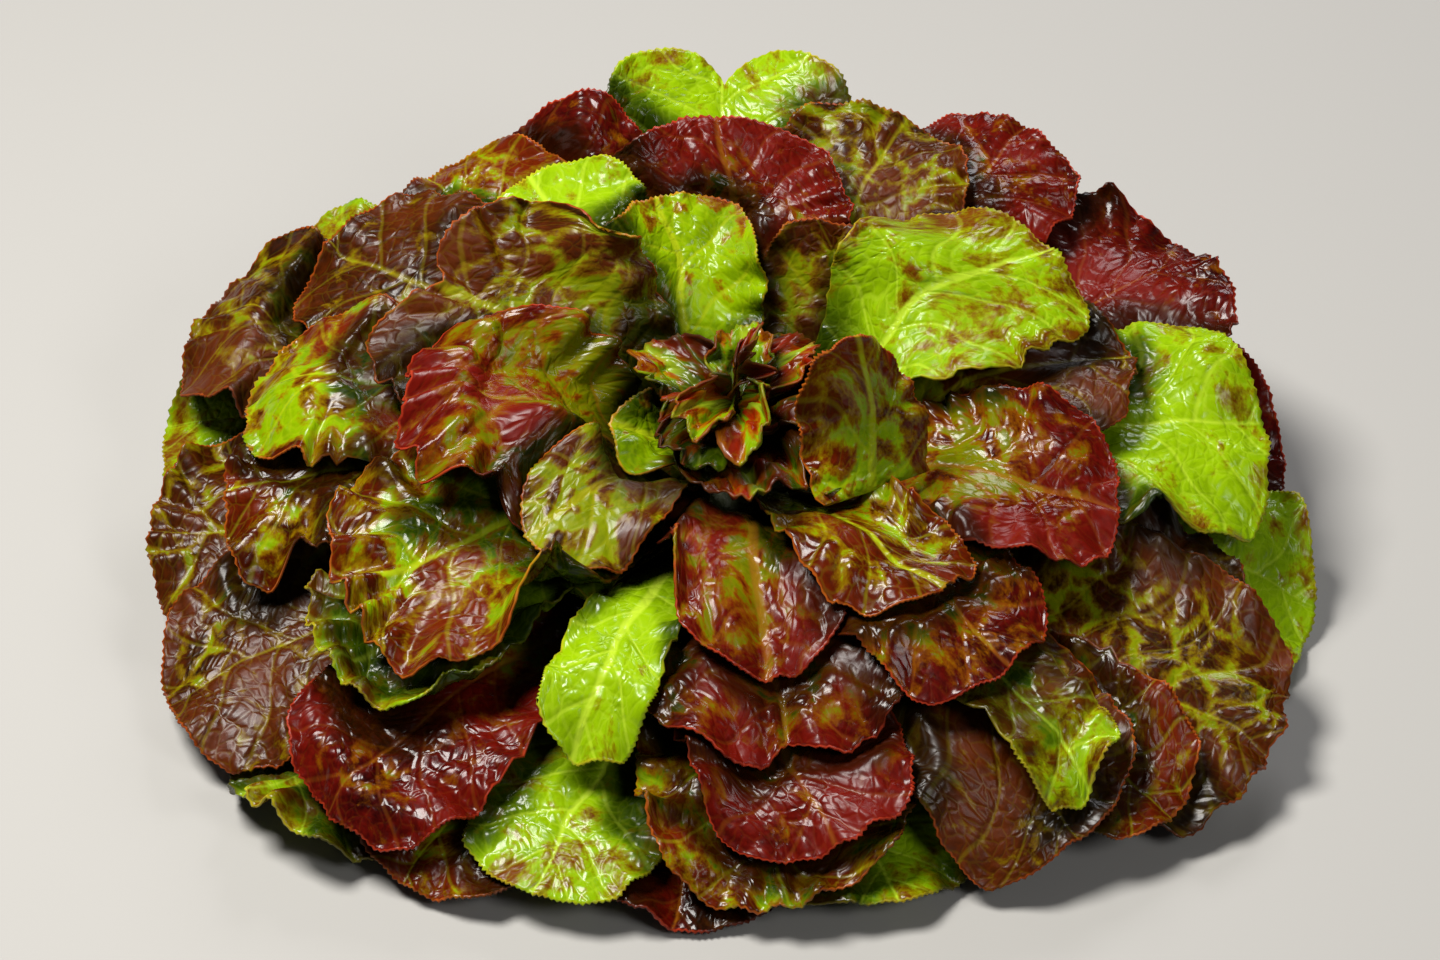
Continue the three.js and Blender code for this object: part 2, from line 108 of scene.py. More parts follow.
# The leaves from the outermost to the innermost, as in the part's source, and the finish of each.
# The higher its red, the more of a leaf is flushed. A frill of 1 ruffles the tip as much as the flanks.
# Slim scales a blade's width, waist draws it in below the tip, and stretch lengthens the tip.
LEAVES = [
    {"at": 34, "reach": 136, "rise": 5, "width": 68, "wave": 6, "tint": "mixed"},
    {"at": 68, "reach": 131, "rise": 5, "width": 68, "wave": 6, "tint": "red"},
    {"at": 103, "reach": 130, "rise": 5, "width": 70, "wave": 6, "tint": "green"},
    {"at": 138, "reach": 134, "rise": 5, "width": 66, "wave": 6, "tint": "bronze"},
    {"at": -143, "reach": 147, "rise": 4, "width": 58, "wave": 7, "tint": "green", "red": 0},
    {"at": -127, "reach": 135, "rise": 3, "width": 54, "wave": 5, "tint": "mixed", "red": 0.5},
    {"at": -98, "reach": 123, "rise": 3, "width": 54, "wave": 4, "tint": "red", "red": 0.7},
    {"at": -73, "reach": 124, "rise": 4, "width": 58, "wave": 5, "tint": "green", "red": 0.12},
    {"at": 14, "reach": 147, "rise": 26, "width": 58, "wave": 5, "tint": "red", "red": 0.85},
    {"at": -6, "reach": 149, "rise": 8, "width": 56, "wave": 4, "tint": "green", "red": -0.05},
    {"at": 161, "reach": 155, "rise": 26, "width": 56, "wave": 4, "tint": "green", "red": 0.08},
    {"at": -179, "reach": 150, "rise": 14, "width": 58, "wave": 4,
     "tint": "bronze", "frill": 0.7, "red": 0.6},
    {"at": -111, "reach": 127, "rise": 6, "width": 50, "wave": 2, "tint": "green", "red": 0.05},
    {"at": -83, "reach": 122, "rise": 6, "width": 70, "wave": 6, "tint": "mixed", "red": 0.45},
    {"at": 50, "reach": 138, "rise": 30, "width": 68, "wave": 6, "tint": "bronze"},
    {"at": 86, "reach": 133, "rise": 30, "width": 70, "wave": 6, "tint": "green"},
    {"at": 121, "reach": 136, "rise": 30, "width": 68, "wave": 6, "tint": "red"},
    {"at": 145, "reach": 153, "rise": 44, "width": 54, "wave": 5, "tint": "green", "red": 0.1},
    {"at": -20, "reach": 134, "rise": 18, "width": 56, "wave": 5, "tint": "bronze", "red": 0.7},
    {"at": -30, "reach": 150, "rise": 8, "width": 74, "wave": 6, "tint": "bronze", "red": 0.6},
    {"at": -160, "reach": 150, "rise": 8, "width": 62, "wave": 4, "tint": "bronze", "red": 0.66},
    {"at": -136, "reach": 138, "rise": 14, "width": 54, "wave": 3, "tint": "red", "red": 0.72},
    {"at": -43, "reach": 141, "rise": 12, "width": 38, "wave": 4, "tint": "mixed", "red": 0.5},
    {"at": -53, "reach": 133, "rise": 9, "width": 56, "wave": 4, "tint": "bronze", "red": 0.72},
    {"at": -86, "reach": 115, "rise": 14, "width": 54, "wave": 5, "tint": "red", "red": 0.68, "lean": 8},
    {"at": 157, "reach": 156, "rise": 31, "width": 58, "wave": 6, "tint": "bronze", "red": 0.58},
    {"at": 31, "reach": 143, "rise": 56, "width": 72, "wave": 6, "tint": "red", "red": 0.76},
    {"at": 71, "reach": 132, "rise": 54, "width": 68, "wave": 6, "tint": "mixed"},
    {"at": 107, "reach": 131, "rise": 56, "width": 68, "wave": 6, "tint": "bronze"},
    {"at": 92, "reach": 120, "rise": 92, "width": 76, "wave": 3,
     "tint": "green", "red": -0.05, "notch": 12},
    {"at": 120, "reach": 115, "rise": 75, "width": 54, "wave": 4, "tint": "red", "red": 0.72},
    {"at": 53, "reach": 130, "rise": 72, "width": 52, "wave": 5, "tint": "red", "red": 0.6},
    {"at": 132, "reach": 125, "rise": 62, "width": 46, "wave": 4, "tint": "mixed", "red": 0.28},
    {"at": 66, "reach": 112, "rise": 76, "width": 58, "wave": 5, "tint": "bronze", "red": 0.48},
    {"at": 146, "reach": 130, "rise": 55, "width": 52, "wave": 4, "tint": "bronze", "red": 0.85},
    {"at": 5, "reach": 137, "rise": 38, "width": 68, "wave": 5, "tint": "green", "red": 0},
    {"at": -50, "reach": 130, "rise": 25, "width": 26, "wave": 4,
     "tint": "green", "frill": 0.7, "red": 0.3},
    {"at": -83, "reach": 97, "rise": 28, "width": 76, "wave": 7,
     "tint": "red", "frill": 0, "red": 0.62, "notch": 8},
    {"at": -148, "reach": 120, "rise": 22, "width": 60, "wave": 7, "tint": "green", "red": 0.15},
    {"at": -178, "reach": 130, "rise": 34, "width": 54, "wave": 7, "tint": "mixed", "red": 0.55},
    {"at": 172, "reach": 127, "rise": 42, "width": 48, "wave": 5,
     "tint": "mixed", "frill": 0.7, "red": 0.22},
    {"at": -112, "reach": 98, "rise": 30, "width": 28, "wave": 4, "tint": "green", "red": -0.05},
    {"at": -48, "reach": 103, "rise": 26, "width": 52, "wave": 5, "tint": "red", "red": 0.62},
    {"at": 88, "reach": 84, "rise": 92, "width": 70, "wave": 5, "tint": "red", "red": 0.76, "lean": 6},
    {"at": 128, "reach": 90, "rise": 81, "width": 44, "wave": 3, "tint": "green", "red": -0.05},
    {"at": 17, "reach": 105, "rise": 58, "width": 64, "wave": 7,
     "tint": "bronze", "frill": 0, "red": 0.8},
    {"at": -151, "reach": 112, "rise": 30, "width": 72, "wave": 8, "tint": "mixed", "red": 0.5},
    {"at": 52, "reach": 60, "rise": 82, "width": 54, "wave": 4, "tint": "bronze", "red": 0.76},
    {"at": 108, "reach": 62, "rise": 86, "width": 50, "wave": 5, "tint": "mixed", "red": 0.25},
    {"at": -15, "reach": 101, "rise": 36, "width": 52, "wave": 6,
     "tint": "red", "frill": 0, "red": 0.74},
    {"at": 156, "reach": 97, "rise": 70, "width": 78, "wave": 6,
     "tint": "bronze", "frill": 0.7, "red": 0.6, "notch": 9},
    {"at": 30, "reach": 98, "rise": 70, "width": 56, "wave": 5, "tint": "green", "red": 0.32},
    {"at": -177, "reach": 93, "rise": 43, "width": 66, "wave": 8, "tint": "red", "red": 0.55},
    {"at": -86, "reach": 78, "rise": 33, "width": 52, "wave": 6,
     "tint": "red", "frill": 0, "red": 0.74, "root_angle": 48},
    {"at": -58, "reach": 84, "rise": 28, "width": 42, "wave": 5,
     "tint": "mixed", "red": 0.95, "root_angle": 44, "lean": 8},
    {"at": -140, "reach": 70, "rise": 37, "width": 38, "wave": 4,
     "tint": "bronze", "red": 0.72, "root_angle": 46},
    {"at": -42, "reach": 104, "rise": 62, "width": 40, "wave": 4,
     "tint": "mixed", "red": 0.5, "lean": -10,
     "root_distance": 26, "bend": STANDING, "slim": 0.82, "waist": 0.22, "stretch": 4, "dome": 0, "cup": 1},
    {"at": -168, "reach": 38, "rise": 57, "width": 36, "wave": 5, "tint": "mixed", "red": 0.5},
]

HEART_RINGS = [
    {"leaves": 5, "first": -84, "root_angle": 68, "tip_angle": 44, "tip_distance": 52, "width": 38},
    {"leaves": 3, "first": -40, "root_angle": 76, "tip_angle": 62, "tip_distance": 53, "width": 30},
    {"leaves": 1, "first": 70, "root_angle": 83, "tip_angle": 77, "tip_distance": 57, "width": 24},
]


def mix(a, b, share):
    return a + (b - a) * share


def smooth(low, high, values):
    share = np.clip((values - low) / (high - low), 0, 1)
    return share * share * (3 - 2 * share)


def stream(seed):
    """A repeatable stream of numbers from 0 to 1, the same as in the part's source."""
    state = seed
    while True:
        state = (state * 1664525 + 1013904223) % 4294967296
        yield state / 4294967296


def drift(x, y, seed):
    """Smooth noise from about -1 to 1 over the plane, with one wave to a unit or two of x and y."""
    x, y = 0.8 * x + 0.6 * y, 0.8 * y - 0.6 * x
    x0, y0 = np.floor(x), np.floor(y)

    def corner(i, j):
        value = np.sin((x0 + i) * 127.1 + (y0 + j) * 311.7 + seed * 74.7) * 43758.5453
        turn = 2 * math.pi * (value - np.floor(value))
        return np.cos(turn) * (x - x0 - i) + np.sin(turn) * (y - y0 - j)

    fx, fy = smooth(0, 1, x - x0), smooth(0, 1, y - y0)
    low = mix(corner(0, 0), corner(1, 0), fx)
    high = mix(corner(0, 1), corner(1, 1), fx)
    return 1.7 * mix(low, high, fy)


# ---- The form of a blade


def prepared(row, index, count):
    draws = stream(7919 * (index + 1))
    rise = row["rise"] - CROWN_HEIGHT
    leaf = {
        "notch": 0,
        "lean": (next(draws) - 0.5) * 4,
        "arch": DEFAULT_ARCH,
        "root_distance": ROOT_DISTANCE,
        "root_angle": mix(FIRST_ROOT_ANGLE, LAST_ROOT_ANGLE, index / (count - 1)),
        "tip_angle": math.degrees(math.atan2(rise, row["reach"])),
        "tip_distance": math.hypot(row["reach"], rise),
        "seed": index + 1,
    }
    leaf.update(row)
    return leaf


def blade_plan(leaf, u, t):
    """Where grid points fall on the flat blade: along from 0 to 1, across in half-widths."""
    length = leaf["tip_distance"] - leaf["root_distance"]
    disc = 1 - TIP_ROUNDNESS * leaf["width"] / 2 / length
    q = np.clip(t / DISC_START, 0, 1)
    widening = np.sin(math.pi / 2 * q) ** 1.6
    y = np.clip((t - DISC_START) / (1 - DISC_START), 0, 1)
    dent = leaf["notch"] / length * np.clip(1 - np.abs(u) / 0.6, 0, 1) ** 2 * y
    outer = t > DISC_START
    tip = mix(disc, 1, y * np.sqrt(1 - TIP_SQUARENESS * u * u)) - dent
    along = np.where(outer, tip, disc * q**1.15)
    narrow = u * mix(ROOT_WIDTH / leaf["width"], 1, widening)
    across = np.where(outer, u * np.sqrt(1 - TIP_SQUARENESS * y * y), narrow)
    return along, across


def arch_angle(leaf, along):
    bow = leaf["arch"] * np.sin(math.pi * np.clip(along, 0, 1))
    return mix(leaf["root_angle"], leaf["tip_angle"], np.clip(along, 0, None) ** 1.2) + bow


def polar_place(leaf, along, across):
    """Distance and azimuth of points of the blade, seen from the centre of the crown."""
    distance = mix(leaf["root_distance"], leaf["tip_distance"], along)
    level = np.maximum(0.4, np.cos(np.radians(arch_angle(leaf, along))))
    turn = np.degrees(across * leaf["width"] / 2 / (distance * level))
    return distance, leaf["at"] + leaf["lean"] * along * np.abs(along) + turn


def in_space(distance, azimuth, angle):
    level = distance * np.cos(np.radians(angle))
    x, y = level * np.cos(np.radians(azimuth)), level * np.sin(np.radians(azimuth))
    return np.stack((x, y, CROWN_HEIGHT + distance * np.sin(np.radians(angle))), axis=-1)


class Hinge:
    """Stands the part of a blade that is past its hinge up and back round a curve, as in the CAD."""

    def __init__(self, leaf):
        bend = leaf["bend"]
        self.middle = in_space(bend["hinge"], leaf["at"], bend["slope"])
        turn, slope, self.by = (math.radians(bend[key]) for key in ("azimuth", "slope", "by"))
        ahead = np.array([math.cos(turn), math.sin(turn), 0])
        self.out = ahead * math.cos(slope) + (0, 0, math.sin(slope))
        self.up = -ahead * math.sin(slope) + (0, 0, math.cos(slope))
        self.radius = bend["radius"]

    def moved(self, places, past, over, new_past, new_over):
        shift = (new_past - past)[..., None] * self.out + (new_over - over)[..., None] * self.up
        return places + shift

    def stand(self, places):
        past, over = (places - self.middle) @ self.out, (places - self.middle) @ self.up
        arm = self.radius - over
        angle = np.clip(past / self.radius, 0, self.by)
        beyond = past - angle * self.radius
        new_past = arm * np.sin(angle) + beyond * np.cos(angle)
        new_over = self.radius - arm * np.cos(angle) + beyond * np.sin(angle)
        return self.moved(places, past, over, new_past, new_over)

    def lay_flat(self, places):
        past, over = (places - self.middle) @ self.out, (places - self.middle) @ self.up
        low = over - self.radius
        beyond = past * math.cos(self.by) + low * math.sin(self.by)
        angle = np.clip(np.arctan2(past, -low), 0, self.by)
        straight = (beyond > 0) & (low > 0)
        arm = np.where(straight, past * math.sin(self.by) - low * math.cos(self.by), np.hypot(past, low))
        new_past = np.where(straight, beyond + self.by * self.radius, angle * self.radius)
        flat = self.moved(places, past, over, new_past, self.radius - arm)
        before = (past <= 0) & ~straight
        return np.where(before[..., None], places, flat)


def cad_angles(node, leaf, rows, columns):
    """The angle of each of the source's grid points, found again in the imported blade."""
    co = np.empty(len(node.data.vertices) * 3)
    node.data.vertices.foreach_get("co", co)
    co = co.reshape(-1, 3) / MM
    if "bend" in leaf:
        co = Hinge(leaf).lay_flat(co)
    co = co - (0, 0, CROWN_HEIGHT)
    distance = np.linalg.norm(co, axis=1)
    angle = np.degrees(np.arcsin(co[:, 2] / distance))
    azimuth = np.degrees(np.arctan2(co[:, 1], co[:, 0]))
    i, j = np.meshgrid(np.arange(rows + 1), np.arange(columns + 1), indexing="ij")
    along, across = blade_plan(leaf, 2 * j / columns - 1, (i / rows) ** ROW_POWER)
    wanted_distance, wanted_azimuth = polar_place(leaf, along, across)
    found = np.full(i.shape, np.nan)
    for place in np.ndindex(found.shape):
        turn = (azimuth - wanted_azimuth[place] + 180) % 360 - 180
        off = np.hypot(
            distance - wanted_distance[place],
            np.radians(turn) * distance * np.cos(np.radians(angle)),
        )
        here = angle[off < FOUND_WITHIN]
        if len(here):
            found[place] = (here.min() + here.max()) / 2
    bare = arch_angle(leaf, along)
    lift = found - bare
    known = ~np.isnan(lift)
    for place in np.argwhere(~known):
        gap = np.hypot(i[known] - place[0], j[known] - place[1])
        lift[tuple(place)] = np.average(lift[known], weights=gap**-3.0)
    return bare + lift


def spline_weights(places, count):
    """Weights of a smooth curve through count + 1 evenly spaced values."""
    cell = np.clip(np.floor(places).astype(int), 0, count - 1)
    s = places - cell
    weights = np.zeros((len(places), count + 1))
    parts = (
        (-1, ((2 - s) * s - 1) * s / 2),
        (0, ((3 * s - 5) * s * s + 2) / 2),
        (1, ((4 - 3 * s) * s + 1) * s / 2),
        (2, (s - 1) * s * s / 2),
    )
    for step, part in parts:
        at = cell + step
        inside = np.clip(at, 0, count)
        np.add.at(weights, (np.arange(len(places)), inside), part)
    return weights


class Heap:
    """What lies over the crown: an angle for each ring of distance and sector of azimuth."""

    def __init__(self, empty, gather):
        self.angles = np.full((HEAP_RINGS, HEAP_SECTORS), float(empty))
        self.gather = gather

    def cells(self, distance, azimuth):
        ring = np.clip(distance / HEAP_STEP, 0, HEAP_RINGS - 1).astype(int)
        return ring, np.floor(azimuth * HEAP_SECTORS / 360).astype(int) % HEAP_SECTORS

    def lay(self, distance, azimuth, angle):
        self.gather.at(self.angles, self.cells(distance, azimuth), angle)

    def over(self, distance, azimuth):
        """The outermost angle within one cell of each point."""
        wide = self.angles
        for step in (-1, 1):
            wide = self.gather(wide, np.roll(self.angles, step, axis=1))
        around = wide.copy()
        around[1:] = self.gather(around[1:], wide[:-1])
        around[:-1] = self.gather(around[:-1], wide[1:])
        return around[self.cells(distance, azimuth)]


def denser(grid):
    """A grid of values with one more point between each two, both ways."""
    for _ in range(2):
        wide = np.empty((grid.shape[0] * 2 - 1, grid.shape[1]))
        wide[::2] = grid
        wide[1::2] = (grid[1:] + grid[:-1]) / 2
        grid = wide.T
    return grid


def lay_sheet(heap, distance, azimuth, angle):
    heap.lay(denser(distance), denser(azimuth), denser(angle))


def eased(need, passes):
    """A smooth rise that is nowhere lower than need."""
    lift = need
    for _ in range(passes):
        padded = np.pad(lift, 1, mode="edge")
        around = padded[:-2, 1:-1] + padded[2:, 1:-1] + padded[1:-1, :-2] + padded[1:-1, 2:]
        lift = np.maximum(need, 0.2 * lift + 0.2 * around)
    return lift


def graded(room, step, passes):
    """The room over a blade, made to grow by no more than a step from one point to the next."""
    for _ in range(passes):
        padded = np.pad(room, 1, mode="edge")
        around = np.minimum(padded[:-2, 1:-1], padded[2:, 1:-1])
        around = np.minimum(around, np.minimum(padded[1:-1, :-2], padded[1:-1, 2:]))
        room = np.minimum(room, around + step)
    return room


class Blade:
    """One leaf: a fine grid of rows from root to tip and columns from side to side."""

    def __init__(self, leaf, grid, fine):
        self.leaf = leaf
        self.grid = grid
        self.fine = fine
        rows, columns = fine
        self.row = np.linspace(0, 1, rows + 1)[:, None] ** FINE_ROW_POWER * np.ones((1, columns + 1))
        self.u = np.linspace(-1, 1, columns + 1)[None, :] * np.ones((rows + 1, 1))
        self.t = self.row**ROW_POWER
        self.along, self.across = blade_plan(leaf, self.u, self.t)
        waist = leaf["waist"] * np.exp(-(((self.along - 0.42) / 0.2) ** 2))
        self.across = self.across * (leaf["slim"] - waist)
        self.distance, self.azimuth = polar_place(leaf, self.along, self.across)

    def rest_on_frame(self, node):
        """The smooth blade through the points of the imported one."""
        rows, columns = self.grid
        angles = cad_angles(node, self.leaf, rows, columns)
        down = spline_weights(self.row[:, 0] * rows, rows)
        over = spline_weights((self.u[0] + 1) / 2 * columns, columns)
        self.smooth_angle = down @ angles @ over.T

    def lying(self, angle, elsewhere):
        """The angles of the part that lies on other leaves, and another value past the hinge."""
        if "bend" not in self.leaf:
            return angle
        return np.where(self.distance < self.leaf["bend"]["hinge"], angle, elsewhere)

    def look_up(self, above):
        """How far in millimetres the next leaf over this one is."""
        ceiling = self.lying(above.over(self.distance, self.azimuth), 90.0)
        self.room = graded(np.radians(ceiling - self.smooth_angle) * self.distance, 1.1, 16)

    def measure(self):
        """Places on the flat blade in millimetres, and how far round its edge each one is."""
        leaf, width = self.leaf, self.leaf["width"]
        self.length = leaf["tip_distance"] - leaf["root_distance"]
        self.x, self.y = self.across * width / 2, self.along * self.length
        self.disc = self.length - TIP_ROUNDNESS * width / 2
        self.beyond = np.maximum(0, self.y - self.disc)
        self.edge = np.maximum(np.abs(self.u), (self.t - DISC_START) / (1 - DISC_START))
        self.rim = (1 - self.edge) * width / 2 * 0.9
        self.turn = np.arctan2(self.beyond, np.abs(self.x) + 1e-6)
        round_edge = np.minimum(self.y, self.disc) + self.turn * width / 2
        other_side = 2 * self.disc + math.pi * width / 2 - round_edge
        self.round_edge = np.where(self.x < 0, other_side, round_edge)
        self.opening = smooth(0.15, 0.6, self.along)
        self.free = smooth(1, 8, self.room)

    def frill(self):
        """Sets the ruffles' phase and height, and gives how far scallops and teeth push the edge out."""
        leaf, seed, place = self.leaf, self.leaf["seed"], self.round_edge
        lobes = drift(place / 9, 0, seed) + 0.5 * drift(place / 4.5, 0, seed + 3)
        frilled = np.maximum(1 - smooth(0.2, 0.9, self.turn), leaf["frill"])
        lobed = leaf["lobes"] + 0.1 * leaf["wave"] * frilled
        push = self.opening * smooth(0.5, 1, self.edge) * lobes * lobed
        self.phase = 2 * math.pi * (place / (1.15 * leaf["pitch"]) + 0.8 * drift(place / 22, 0, seed + 7))
        self.height = leaf["ruffle"] * (0.3 + 0.55 * frilled) * self.opening
        scallop = np.abs(np.cos(self.phase / 2)) ** 0.7 - 0.7
        push = push + 0.35 * self.height * scallop * smooth(0.7, 1, self.edge)
        rows, columns = self.fine
        i, j = np.meshgrid(np.arange(rows + 1), np.arange(columns + 1), indexing="ij")
        on_edge = (i == rows) | (j == 0) | (j == columns)
        tooth = (i + j) % 2 * (0.55 + 0.35 * drift(place / 4, 0, seed + 5))
        return push + np.where(on_edge, self.opening * tooth, 0)

    def curl(self):
        """How far the flanks roll up in places, and how far that draws them in."""
        leaf, seed, place = self.leaf, self.leaf["seed"], self.round_edge
        roll = drift(place / 26, 0, seed + 21) + 0.5 * drift(place / 12, 0, seed + 22)
        flanks = 1 - 0.9 * smooth(0.3, 1.0, self.turn)
        roll = leaf["roll"] * self.opening * self.free * smooth(-0.25, 0.8, roll) * flanks
        strip = np.maximum(0, 0.36 * leaf["width"] / 2 * (0.7 + 0.3 * roll) - self.rim)
        bend = strip / CURL_RADIUS * roll
        bent, divisor = bend > 1e-3, np.maximum(bend, 1e-3)
        rise = np.where(bent, strip * (1 - np.cos(bend)) / divisor, 0)
        drawn = strip - np.where(bent, strip * np.sin(bend) / divisor, strip)
        return rise, drawn

    def spread(self, shift):
        """Moves the blade's points away from its midline and from the middle of its round tip."""
        leaf = self.leaf
        reach = np.hypot(self.x, self.beyond) + 1e-6
        longer = leaf["stretch"] * smooth(0.55, 1, self.along)
        along = (self.y + longer + shift * self.beyond / reach) / self.length
        across = (self.x + shift * self.x / reach) * 2 / leaf["width"]
        self.distance, self.azimuth = polar_place(leaf, along, across)

    def opened(self):
        """How far the blade opens out of its droop, its tip rounds up and its flanks cup."""
        leaf = self.leaf
        middle = self.smooth_angle[:, [self.fine[1] // 2]]
        droop = middle - (self.smooth_angle + self.smooth_angle[:, ::-1]) / 2
        opened = np.clip(np.radians(droop) * self.distance, 0, MOST_OPENING) * leaf["open"]
        from_disc = self.x * self.x + (self.y - self.disc) ** 2
        dome = leaf["dome"] * np.clip(1 - from_disc / (leaf["width"] / 2) ** 2, 0, 1)
        below_tip = 1 - smooth(0.6, 0.9, self.along)
        cup = leaf["cup"] * self.u * self.u * self.opening * below_tip
        return opened * smooth(0.25, 0.6, self.t) + dome + cup

    def ruffles(self):
        """How far the waves near the edge stand up."""
        wander = drift(self.round_edge / 19, 0, self.leaf["seed"] + 8)
        return self.height * smooth(0.35, 1, self.edge) * (0.8 * np.sin(self.phase) + 0.8 * wander + 0.7)

    def texture(self):
        """Blisters between the side veins, the midrib's groove, and crumples in the heart's leaves."""
        leaf, seed, x, y = self.leaf, self.leaf["seed"], self.x, self.y
        warp_x = x + 2.2 * drift(x / 17, y / 17, seed + 11)
        warp_y = y + 3.4 * drift(x / 15, y / 19, seed + 12)
        self.vein_place = np.stack((warp_x, warp_y, self.rim), axis=-1)
        off_rib = np.abs(warp_x)
        stagger = np.where(warp_x < 0, VEIN_STAGGER, 0)
        flank = warp_y - VEIN_SLOPE * off_rib + VEIN_BOW * off_rib**2 + stagger
        band = np.sin(math.pi * flank / VEIN_SPACING) ** 2
        half = np.sign(x) * 20
        puff = drift(flank / 8 + seed, off_rib / 9 + half, seed + 13)
        puff = puff + 0.15 * drift(flank / 4 + seed, off_rib / 4.5 + half, seed + 14)
        blister = leaf["blister"] * (0.6 * band + 0.7 * puff) * smooth(0, 6, off_rib)
        groove = -0.5 * (1 - smooth(0, 2.2, off_rib))
        crumple = drift(x / 8, y / 8, seed + 31) + 0.6 * drift(x / 3.5, y / 3.5, seed + 32)
        crumple = leaf["crumple"] * (crumple + 0.3)
        return blister * (1 - 0.5 * smooth(0.9, 1, self.edge)) + groove + crumple

    def shape(self):
        """Works out the blade's edge, and then how far it rises over the smooth blade."""
        self.measure()
        push = self.frill()
        rise, drawn = self.curl()
        self.spread(push - drawn)
        relief = self.ruffles() + rise + self.opened() * self.free
        relief = relief + self.opening * self.texture()
        relief = np.minimum(relief, np.maximum(0, self.room - ROOM_LEFT))
        if "bend" in self.leaf:
            from_bend = np.abs(self.distance - self.leaf["bend"]["hinge"] - BEND_MIDDLE)
            relief = relief * smooth(12, 22, from_bend)
        self.angle = self.smooth_angle + np.degrees(relief / self.distance)
        # How open a skin is above it, from 0 to 1. It sets the painted shade, which darkens the skin where
        # the next leaf over it is near and towards the root.
        self.unshaded = smooth(0, PAINTED_SHADE_ROOM, self.room - relief) * self.opening

    def settle(self, below):
        """Lifts the blade clear of the leaves under it."""
        floor = below.over(self.distance, self.azimuth) + np.degrees(REST_GAP / self.distance)
        floor = self.lying(floor, -90.0)
        rootward = smooth(0.1, 0.3, self.along)
        self.angle = self.angle + eased(np.maximum(0, floor - self.angle), 24) * rootward
        table = (LOWEST - CROWN_HEIGHT) / self.distance
        self.angle = np.maximum(self.angle, np.degrees(np.arcsin(np.clip(table, -1, 1))))
        top = self.lying(self.angle + np.degrees(TOP_FACE / self.distance), -90.0)
        lay_sheet(below, self.distance, self.azimuth, top)

    def mesh(self, name):
        """The blade as a grid of faces, with its veins' places and its red, painted shade and seed as
        attributes.
        """
        rows, columns = self.fine
        bm = bmesh.new()
        bmesh.ops.create_grid(bm, x_segments=columns, y_segments=rows, size=0.5)
        mesh = bpy.data.meshes.new(name)
        bm.to_mesh(mesh)
        bm.free()
        count = len(mesh.vertices)
        flat = np.empty(count * 3)
        mesh.vertices.foreach_get("co", flat)
        i = np.rint((flat[1::3] + 0.5) * rows).astype(int)
        j = np.rint((0.5 - flat[0::3]) * columns).astype(int)
        place = in_space(self.distance, self.azimuth, self.angle)
        if "bend" in self.leaf:
            place = Hinge(self.leaf).stand(place)
        place[..., 2] = np.clip(place[..., 2], LOWEST, HIGHEST)
        mesh.vertices.foreach_set("co", (place[i, j] * MM).ravel())
        veins = mesh.attributes.new("blade", "FLOAT_VECTOR", "POINT")
        veins.data.foreach_set("vector", self.vein_place[i, j].ravel())
        tone = mesh.attributes.new("tone", "FLOAT_VECTOR", "POINT")
        own = np.tile([self.leaf["red"], 0.0, self.leaf["seed"]], (count, 1))
        own[:, 1] = self.unshaded[i, j]
        tone.data.foreach_set("vector", own.ravel())
        mesh.polygons.foreach_set("use_smooth", np.ones(len(mesh.polygons), bool))
        mesh.update()
        return mesh


def piece(name, mesh, material, node, slot):
    """A finished piece on the frame, standing for its CAD node."""
    made = bpy.data.objects.new(name, mesh)
    bpy.context.scene.collection.objects.link(made)
    mesh.materials.append(material)
    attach(made, "root")
    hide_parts(node)
    return made


def thicken(made, thickness):
    wall = made.modifiers.new("thickness", "SOLIDIFY")
    wall.thickness = thickness
    wall.offset = 0


# ---- Shader maths


class Value:
    """A number that changes over a surface, so that it can be used in Python expressions."""

    def __init__(self, paint, socket):
        self.paint = paint
        self.socket = socket

    def maths(self, operation, *others):
        return self.paint.maths(operation, self, *others)

    def __add__(self, other):
        return self.maths("ADD", other)

    def __sub__(self, other):
        return self.maths("SUBTRACT", other)

    def __mul__(self, other):
        return self.maths("MULTIPLY", other)

    def __truediv__(self, other):
        return self.maths("DIVIDE", other)

    def __radd__(self, other):
        return self.paint.maths("ADD", other, self)

    def __rsub__(self, other):
        return self.paint.maths("SUBTRACT", other, self)

    def __rmul__(self, other):
        return self.paint.maths("MULTIPLY", other, self)

    def __abs__(self):
        return self.maths("ABSOLUTE")


